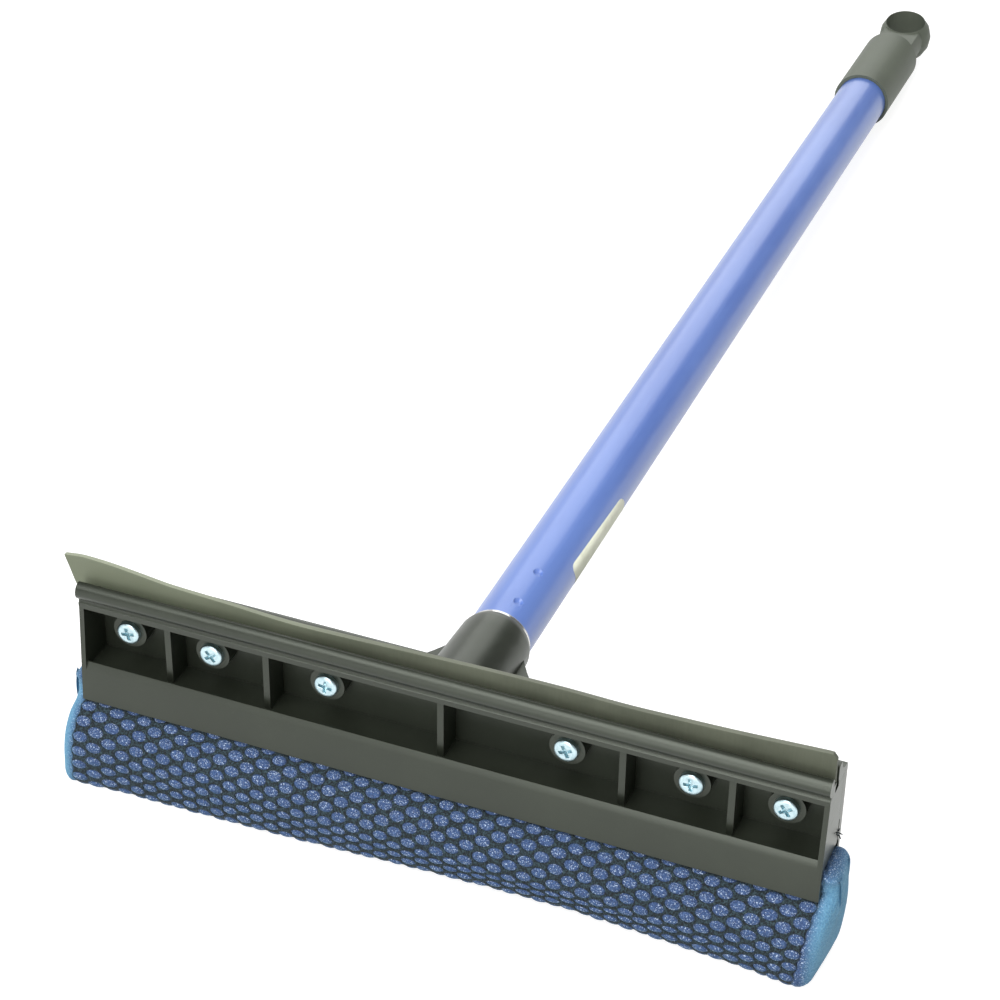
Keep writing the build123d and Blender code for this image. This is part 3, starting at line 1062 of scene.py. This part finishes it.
@dataclass
class SpongeBar:
    """Foam bar in its net sleeve, nipped between the casings' skirts and standing on the table.

    The knots are (Y, Z) in millimetres. An end's lean is a table of how far it reaches outwards over
    Y + Z, in millimetres.
    """

    head: HeadFrame
    section_knots: Table = (
        (-3.9, -17.2), (-3.7, -22.0), (-4.6, -26.4), (-9.6, -29.4), (-13.6, -34.5),
        (-15.5, -40.5), (-15.6, -47.0), (-15.0, -52.9), (-12.2, -55.4), (-4.0, -54.5),
        (4.0, -53.8), (9.4, -52.6), (11.9, -48.0), (12.4, -41.0), (12.2, -33.5), (11.3, -26.6),
        (10.5, -21.5), (10.2, -17.2),
    )
    foam_square_end: float = 126.2 * MM
    end_round: float = 4.4 * MM
    end_crown: float = 1.5 * MM
    end_rings: tuple[float, ...] = (0.86, 0.7, 0.52, 0.34, 0.16)
    grid: float = 0.8 * MM
    weld: float = 0.02 * MM
    fill: float = 0.9
    dome: float = 0.65 * MM
    dome_power: float = 2.2
    rim_height: float = 0.3 * MM
    dent: float = 0.5 * MM
    dent_span: Span = (0.95, 1.15)
    unevenness: float = 0.25 * MM
    lump_size: float = 9 * MM
    lump_layer: float = 1.3
    bare_height: float = 0.6 * MM
    tuck: float = 0.6 * MM
    column_pitch: float = 4.93 * MM
    row_pitch: float = 5.3 * MM
    columns: int = 51
    net_middle: float = -0.3 * MM
    yarn_width: float = 0.8 * MM
    hole_stretch: Stretch = (1.13, 0.8, 1.0)
    yarn_thickness: float = 0.55 * MM
    yarn_lift: float = 0.05 * MM
    yarn_share: float = 0.62
    net_weld: float = 0.1 * MM
    sway: float = 0.45 * MM
    sway_round: float = 1.6
    sway_size: tuple[float, float] = (38 * MM, 30 * MM)
    sway_layer: float = 3.7
    sway_seed: int = 7
    lift: float = 5.0 * MM
    lift_centre: float = 43.0 * MM
    lift_left: float = 85.0 * MM
    lift_right: float = 62.0 * MM
    low_span: Span = (40 * MM, 54 * MM)
    front_span: Span = (-3 * MM, 13 * MM)
    splay: float = 0.9 * MM
    splay_span: Span = (106 * MM, 127 * MM)
    lean_length: float = 18 * MM
    right_end_lean: Table = (
        (-70.0, -2.4), (-56.0, -0.6), (-39.0, 1.0), (-24.0, 1.9), (-8.0, 1.4),
    )
    left_end_lean: Table = ((-70.0, 1.8), (-40.0, 1.3), (-8.0, 1.0))
    table_gap: float = 0.3 * MM
    thread_radius: float = 0.3 * MM
    thread_taper: float = 0.86
    thread_routes: tuple[tuple[tuple[float, float, float], ...], ...] = (
        ((126.4, 10.0, -10.8), (127.2, 8.6, -9.8), (127.4, 6.8, -8.8), (127.6, 5.4, -8.2)),
        ((126.4, 10.0, -10.8), (127.4, 10.4, -11.4), (128.5, 10.9, -12.2)),
        ((126.4, 10.0, -10.6), (127.3, 9.7, -9.8), (127.6, 9.6, -8.8)),
        ((126.4, 10.0, -11.2), (127.5, 10.4, -12.6), (128.2, 10.2, -13.6)),
    )
    section: SpongeSection = field(init=False)
    weave: HexWeave = field(init=False)
    rows: int = field(init=False)

    def __post_init__(self) -> None:
        """Works out the outline and the lattice from the sizes."""
        self.section = SpongeSection(self.section_knots)
        first, last = self.section.knot_lengths[1], self.section.knot_lengths[-2]
        self.rows = round((last - first) / self.row_pitch)
        self.weave = HexWeave(self.column_pitch, (last - first) / self.rows, first)

    def build(self) -> None:
        """Makes the foam, the net and the loose threads."""
        noise.seed_set(self.sway_seed)  # the clock seeds the vector noise otherwise
        yarn = NetYarn().build()
        foam = self._foam()
        net = self._net(yarn)
        flat = (self.rows * self.weave.row_pitch, 2 * self._net_reach())
        log.info("net covers %.1f mm round the section in %d rows", flat[0] / MM, self.rows)
        threads = self._loose_threads(yarn)
        self.yarn_share * flat[0] * flat[1]

    def _net_reach(self) -> float:
        """Half the net's length along the head."""
        return ((self.columns - 1) / 2 + 2 / 3) * self.column_pitch

    def _settle(self, x: float, distance: float, height: float) -> Vector:
        """Place, in the row frame, of a point at a height over the sponge's skin.

        Args:
            x: Place along the head.
            distance: Length round the section.
            height: Height over the skin.

        Returns:
            The point, lifted with the front bottom edge and never under the table.
        """
        point, normal = self.section.at(distance)
        place = point + normal * (height - self._rounding(x))
        low_front = smooth_step(-place.y, *self.low_span) * smooth_step(-place.x, *self.front_span)
        away = (x - self.lift_centre) / (self.lift_right if x > self.lift_centre else self.lift_left)
        place.y += self.lift * math.exp(-away * away) * low_front
        place.x -= self.splay * smooth_step(abs(x), *self.splay_span) * low_front
        settled = self.head.to_row @ Vector((x + self._slant(x, place), place.x, place.y))
        settled.z = max(settled.z, self.table_gap)
        return settled

    def _follow_rounding(self, x: float) -> float:
        """Spreads the grid lines past the foam's square end evenly over its rounding.

        Args:
            x: Place of a grid line along the head.

        Returns:
            The line's new place.
        """
        past = max(abs(x) - self.foam_square_end, 0.0)
        arc = self.end_round * math.sin(min(past / self.end_round, 1.0) * math.pi / 2)
        return math.copysign(min(abs(x), self.foam_square_end) + arc, x)

    def _rounding(self, x: float) -> float:
        """How far the foam's rounded end draws in at a place along the head past its square end."""
        past = min(max(abs(x) - self.foam_square_end, 0.0), self.end_round)
        return self.end_round - math.sqrt(self.end_round**2 - past**2)

    def _slant(self, x: float, place: Vector) -> float:
        """How far an end's slant moves a point along the head.

        Args:
            x: Place along the head, before the slant.
            place: The point's (Y, Z) in the head's frame.

        Returns:
            The move along the head, none in the bar's middle.
        """
        lean = self.right_end_lean if x > 0 else self.left_end_lean
        reach = smooth_step(abs(x), self.foam_square_end - self.lean_length, self.foam_square_end)
        outward = 1 if x > 0 else -1
        return outward * reach * smooth_line(lean, (place.x + place.y) / MM) * MM

    def _drift(self, x: float, distance: float) -> tuple[float, float]:
        """Moves a point of the lattice by its slow unevenness.

        Args:
            x: Place along the head.
            distance: Length round the section.

        Returns:
            The new x and distance.
        """
        spot = Vector((x / self.sway_size[0], distance / self.sway_size[1], self.sway_layer))
        wander = noise.noise_vector(spot)
        return x + wander.x * self.sway, distance + wander.y * self.sway * self.sway_round

    def _skin_height(self, x: float, distance: float, share: float, bare: float) -> float:
        """Height of the foam's surface: domed in each hole and dented under each thread.

        Args:
            x: Place along the head.
            distance: Length round the section.
            share: How far it is from the middle of its hole, 1 at the rim.
            bare: How far it is out of the net.

        Returns:
            The height over the skin.
        """
        dome = self.rim_height + self.dome * (1 - min(share, 1.0) ** self.dome_power)
        dome -= self.dent * smooth_step(share, *self.dent_span)
        lump = Vector((x / self.lump_size, distance / self.lump_size, self.lump_layer))
        return dome * (1 - bare) + self.bare_height * bare + noise.noise(lump) * self.unevenness

    def _foam(self) -> bpy.types.Object:
        """The foam, a closed tube of fine grid with softly rounded, bare ends.

        Returns:
            The foam bar.
        """
        bm = bmesh.new()
        reach = self.foam_square_end + self.end_round
        along = round(2 * reach / self.grid)
        around = round(self.section.length / self.grid)
        bmesh.ops.create_grid(bm, x_segments=along, y_segments=around, size=0.5)
        near_thread = bm.verts.layers.float.new(NEAR_THREAD)
        last_row = 1 - 0.5 / around  # the grid's last row is laid on its first, to weld the seam
        for vert in bm.verts:
            x = self._follow_rounding(vert.co.x * 2 * reach)
            turn = vert.co.y + 0.5
            distance = turn * self.section.length if turn < last_row else 0.0
            drift_x, drift_distance = self._drift(x, distance)
            share = self.weave.rim_share(2 * x - drift_x - self.net_middle, 2 * distance - drift_distance)
            bare = smooth_step(
                abs(x - self.net_middle),
                self._net_reach() - self.tuck,
                self._net_reach() + 3 * self.tuck,
            )
            # The foam's finish paints shade where this share is high, next to the threads.
            vert[near_thread] = share * (1 - bare)
            vert.co = self._settle(x, distance, self._skin_height(x, distance, share, bare))
        bmesh.ops.remove_doubles(bm, verts=bm.verts, dist=self.weld)
        for side in (-1, 1):
            self._close_end(bm, side)
        foam = OpenCellFoam(self.head, self.net_middle, self._net_reach()).build()
        piece = finished_piece(bm, "foam_bar", foam)
        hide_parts("foam_sponge")
        return piece

    def _close_end(self, bm: bmesh.types.BMesh, side: int) -> None:
        """Closes one end of the foam tube with a few rings that draw together.

        Args:
            bm: The foam.
            side: -1 for the left end, 1 for the right.
        """
        rim = [edge for edge in bm.edges if edge.is_boundary and edge.verts[0].co.x * side > 0]
        ring = list(dict.fromkeys(vert for edge in rim for vert in edge.verts))
        centre = self._middle(ring)
        last_share = 1.0
        for share in self.end_rings:
            made = bmesh.ops.extrude_edge_only(bm, edges=rim)
            ring = [item for item in made["geom"] if isinstance(item, bmesh.types.BMVert)]
            rim = [item for item in made["geom"] if isinstance(item, bmesh.types.BMEdge)]
            for vert in ring:
                vert.co = centre.lerp(vert.co, share / last_share)
                vert.co.x += side * self.end_crown * (last_share**2 - share**2)
            last_share = share
        bmesh.ops.pointmerge(bm, verts=ring, merge_co=self._middle(ring))

    @staticmethod
    def _middle(verts: Sequence[bmesh.types.BMVert]) -> Vector:
        """Mean place of some points."""
        return sum((vert.co for vert in verts), Vector()) / len(verts)

    def _net(self, yarn: bpy.types.Material) -> bpy.types.Object:
        """The net: a honeycomb of threads wrapped over the foam.

        Args:
            yarn: Its finish.

        Returns:
            The net.
        """
        bm = bmesh.new()
        first = -(self.columns // 2)
        regular = self.column_pitch * 2 / 3
        squash = self.weave.row_pitch / (math.sqrt(3) * regular)
        for column in range(first, first + self.columns):
            for row in range(self.rows):
                x, distance = self.weave.centre(column, row)
                spot = Matrix.Translation((x, distance, 0)) @ Matrix.Diagonal((1, squash, 1, 1))
                bmesh.ops.create_circle(
                    bm,
                    cap_ends=True,
                    segments=6,
                    radius=regular,
                    matrix=spot @ Matrix.Rotation(math.radians(30), 4, "Z"),
                )
        bmesh.ops.remove_doubles(bm, verts=bm.verts, dist=self.net_weld)
        holes = bm.faces[:]
        bmesh.ops.inset_individual(bm, faces=holes, thickness=self.yarn_width / 2, use_even_offset=True)
        for hole in holes:
            middle = Matrix.Translation(-hole.calc_center_median())
            bmesh.ops.scale(bm, verts=hole.verts, vec=self.hole_stretch, space=middle)
        bmesh.ops.delete(bm, geom=holes, context="FACES_ONLY")
        for vert in bm.verts:
            x, distance = self._drift(vert.co.x + self.net_middle, vert.co.y)
            vert.co = self._settle(x, distance, self.yarn_lift)
        bmesh.ops.reverse_faces(bm, faces=bm.faces)
        piece = finished_piece(bm, "net_cover", yarn, recalculate=False)
        thickness = piece.modifiers.new("yarn_thickness", "SOLIDIFY")
        thickness.thickness = self.yarn_thickness
        thickness.offset = 1.0
        subdivide(piece, 1)
        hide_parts("net_sleeve")
        return piece

    def _loose_threads(self, yarn: bpy.types.Material) -> list[bpy.types.Object]:
        """Cut thread ends that stick out where the net's tail leaves the casings.

        Args:
            yarn: Their finish.

        Returns:
            The threads.
        """
        routes = enumerate(self.thread_routes, start=1)
        return [self._thread(f"loose_thread_{number}", route, yarn) for number, route in routes]

    def _thread(
        self,
        name: str,
        route: Sequence[tuple[float, float, float]],
        yarn: bpy.types.Material,
    ) -> bpy.types.Object:
        """One short tapering thread through a few points of the head's frame.

        Args:
            name: The piece's name.
            route: Its points in millimetres.
            yarn: Its finish.

        Returns:
            The thread.
        """
        places = [Vector(point) * MM for point in route]
        bm = bmesh.new()
        made = bmesh.ops.create_circle(bm, cap_ends=True, segments=6, radius=self.thread_radius)
        aim = (places[1] - places[0]).to_track_quat("Z", "Y").to_matrix().to_4x4()
        bmesh.ops.transform(bm, matrix=Matrix.Translation(places[0]) @ aim, verts=made["verts"])
        tip = bm.faces[:]
        for start, end in zip(places, places[1:]):
            grown = bmesh.ops.extrude_face_region(bm, geom=tip)
            ring = [item for item in grown["geom"] if isinstance(item, bmesh.types.BMVert)]
            tip = [item for item in grown["geom"] if isinstance(item, bmesh.types.BMFace)]
            bmesh.ops.translate(bm, verts=ring, vec=end - start)
            narrower = (self.thread_taper,) * 3
            bmesh.ops.scale(bm, verts=ring, vec=narrower, space=Matrix.Translation(-end))
        bmesh.ops.transform(bm, matrix=self.head.to_row, verts=bm.verts)
        piece = finished_piece(bm, name, yarn)
        subdivide(piece, 2)
        return piece


# ---- Handle ---------------------------------------------------------------------------------------


@dataclass
class Handle:
    """Painted tube with a bare label, and the cap with its hanging eye.

    The label's turn is the angle that it goes round the tube, down from its top edge. Its top edge
    turns down by the skew over its length, and its ends slant. Angles are in degrees.
    """

    head: HeadFrame
    edge: float = 0.15 * MM
    cap_edge: float = 0.3 * MM
    tube_radius: float = 11.0 * MM
    label_lift: float = 0.06 * MM
    label_thickness: float = 0.12 * MM
    label_start: float = 87.0 * MM
    label_length: float = 49.0 * MM
    label_top: float = 26.0
    label_turn: float = 118.0
    label_skew: float = 9.0
    label_slant: float = 0.32
    label_corner: float = 3.0 * MM
    label_corner_steps: int = 5
    label_steps: int = 24

    def build(self) -> None:
        """Dresses the tube and the cap and adds the label."""
        dress_node("handle_tube", TubePaint(self.head).build(), self.edge)
        cap = MouldedPlastic(
            name="cap_plastic",
            colour=srgb(84, 89, 79),
            worn=srgb(106, 112, 99),
            roughness=0.6,
            gloss=0.1,
            pebble_scale=1800.0,
            pebble_depth=0.035 * MM,
        )
        dress_node("end_cap", cap.build(), self.cap_edge)
        self._label()

    def _label(self) -> None:
        """Bare paper label wrapped part of the way round the tube."""
        width = math.radians(self.label_turn) * self.tube_radius
        bm = bmesh.new()
        bmesh.ops.create_grid(bm, x_segments=1, y_segments=1, size=0.5)
        bmesh.ops.scale(bm, vec=(width, self.label_length, 1), verts=bm.verts)
        bmesh.ops.bevel(
            bm,
            geom=bm.verts[:],
            offset=self.label_corner,
            segments=self.label_corner_steps,
            profile=0.5,
            affect="VERTICES",
            material=-1,
        )
        for step in range(1, self.label_steps):
            cut = width * (step / self.label_steps - 0.5)
            parts = bm.verts[:] + bm.edges[:] + bm.faces[:]
            bmesh.ops.bisect_plane(bm, geom=parts, plane_co=(cut, 0, 0), plane_no=(1, 0, 0))
        radius = self.tube_radius + self.label_lift
        for vert in bm.verts:
            round_tube = vert.co.x + width / 2
            length_share = vert.co.y / self.label_length + 0.5
            top = math.radians(self.label_top - self.label_skew * length_share)
            turn = top - round_tube / self.tube_radius
            up_handle = self.label_start + length_share * self.label_length
            up_handle += self.label_slant * round_tube
            vert.co = Vector((radius * math.cos(turn), up_handle, radius * math.sin(turn)))
        bmesh.ops.recalc_face_normals(bm, faces=bm.faces)
        bmesh.ops.solidify(bm, geom=bm.faces[:], thickness=self.label_thickness)
        bmesh.ops.transform(bm, matrix=self.head.to_row, verts=bm.verts)
        finished_piece(bm, "bare_label", LabelPaper().build())


# ---- Studio ---------------------------------------------------------------------------------------


@dataclass(frozen=True)
class SoftBox:
    """A large soft lamp; its size is its width and its height."""

    name: str
    place: tuple[float, float, float]
    size: tuple[float, float]
    power: float


@dataclass
class Studio:
    """White sweep, soft lamps and the camera; angles are in degrees."""

    aim: Vector = field(default_factory=lambda: Vector((-0.02559, -0.15752, 0.05)))
    distance: float = 0.94599
    azimuth: float = 22.917
    elevation: float = 38.645
    roll: float = 1.298
    lens: float = 97.404
    clip_start: float = 0.01
    floor_size: float = 60.0
    floor_colour: Colour = (0.42, 0.42, 0.42)
    floor_glow: float = 0.82
    floor_shine: float = 0.8
    sky_rise: Span = (0.08, 0.5)
    sky_turn: Span = (-0.5, 0.6)
    sky_high: Colour = (0.3, 0.3, 0.3)
    sky_left: Colour = (1.7, 1.7, 1.7)
    sky_right: Colour = (0.25, 0.25, 0.25)
    sky_strength: float = 0.8
    lamps: tuple[SoftBox, ...] = (
        SoftBox("key_softbox", (-0.2, -1.0, 1.65), (1.3, 1.3), 30.0),
        SoftBox("back_softbox", (-0.5, 2.0, 1.3), (1.8, 1.8), 24.0),
        SoftBox("front_strip", (-0.1, -1.95, 0.75), (0.5, 1.7), 16.0),
        SoftBox("right_softbox", (1.6, -0.3, 1.1), (1.2, 1.2), 9.0),
    )

    def build(self) -> None:
        """Sets the stage."""
        scene = bpy.context.scene
        scene.view_settings.view_transform = "Standard"
        self._floor()
        self._sky(scene)
        for lamp in self.lamps:
            self._lamp(lamp)
        self._camera(scene)

    def _floor(self) -> None:
        """A white floor that keeps a faint shadow."""
        bm = bmesh.new()
        bmesh.ops.create_grid(bm, x_segments=1, y_segments=1, size=self.floor_size / 2)
        mesh = bpy.data.meshes.new("floor")
        bm.to_mesh(mesh)
        bm.free()
        material = bpy.data.materials.new("white_floor")
        bench = NodeBench(material)
        seen = bench.node("ShaderNodeLightPath", output="Is Camera Ray")
        mirrored = bench.node("ShaderNodeLightPath", output="Is Glossy Ray")
        through = bench.node("ShaderNodeLightPath", output="Is Transmission Ray")
        glow = seen * self.floor_glow + (mirrored + through) * self.floor_shine
        shader = bench.node("ShaderNodeBsdfDiffuse", sockets={"Color": (*self.floor_colour, 1.0)})
        light = bench.node("ShaderNodeEmission", sockets={"Strength": glow})
        both = bench.node("ShaderNodeAddShader", sockets={0: shader, 1: light})
        bench.node("ShaderNodeOutputMaterial", sockets={"Surface": both})
        mesh.materials.append(material)
        floor = bpy.data.objects.new("floor", mesh)
        bpy.context.scene.collection.objects.link(floor)

    def _sky(self, scene: bpy.types.Scene) -> None:
        """White behind the object; its light is pale low down on the left, dimmer right and overhead.

        Args:
            scene: The scene that gets the sky.
        """
        world = bpy.data.worlds.new("studio_sky")
        scene.world = world
        bench = NodeBench(world)
        direction = bench.node("ShaderNodeTexCoord", output="Generated")
        height = bench.axis(direction, "Z").eased(*self.sky_rise)
        side = bench.axis(direction, "X").eased(*self.sky_turn)
        room = bench.mix(height, bench.mix(side, self.sky_left, self.sky_right), self.sky_high)
        seen = bench.node("ShaderNodeLightPath", output="Is Camera Ray")
        colour = bench.mix(seen, room, (1.0, 1.0, 1.0))
        strength = seen + (1 - seen) * self.sky_strength
        shade = bench.node("ShaderNodeBackground", sockets={"Color": colour, "Strength": strength})
        bench.node("ShaderNodeOutputWorld", sockets={"Surface": shade})

    def _lamp(self, lamp: SoftBox) -> None:
        """Adds one softbox that points at the head.

        Args:
            lamp: The lamp.
        """
        data = bpy.data.lights.new(lamp.name, "AREA")
        data.shape = "RECTANGLE"
        data.size, data.size_y = lamp.size
        data.energy = lamp.power
        made = bpy.data.objects.new(lamp.name, data)
        made.location = lamp.place
        made.rotation_mode = "QUATERNION"
        made.rotation_quaternion = (self.aim - made.location).to_track_quat("-Z", "Y")
        bpy.context.scene.collection.objects.link(made)

    def _camera(self, scene: bpy.types.Scene) -> None:
        """Adds the camera, looking at the head from its front right.

        Args:
            scene: The scene that gets the camera.
        """
        turn, rise = math.radians(self.azimuth), math.radians(self.elevation)
        level_reach = math.cos(rise)
        back = Vector((math.sin(turn) * level_reach, -math.cos(turn) * level_reach, math.sin(rise)))
        data = bpy.data.cameras.new("camera")
        data.lens = self.lens
        data.clip_start = self.clip_start
        made = bpy.data.objects.new("camera", data)
        level = (-back).to_track_quat("-Z", "Y").to_matrix()
        made.matrix_world = Matrix.Translation(self.aim + back * self.distance) @ (
            level @ Matrix.Rotation(math.radians(-self.roll), 3, "Z")
        ).to_4x4()
        scene.collection.objects.link(made)
        scene.camera = made


def main() -> None:
    """Builds every sub-assembly in order."""
    logging.basicConfig(level=logging.INFO, format="%(name)s: %(message)s")
    head = HeadFrame.from_record(frame["record"])
    Studio().build()
    CasingPair().build()
    WiperBlade(head).build()
    ClampScrews(head).build()
    SpongeBar(head).build()
    Handle(head).build()


if __name__ == "__main__":
    main()
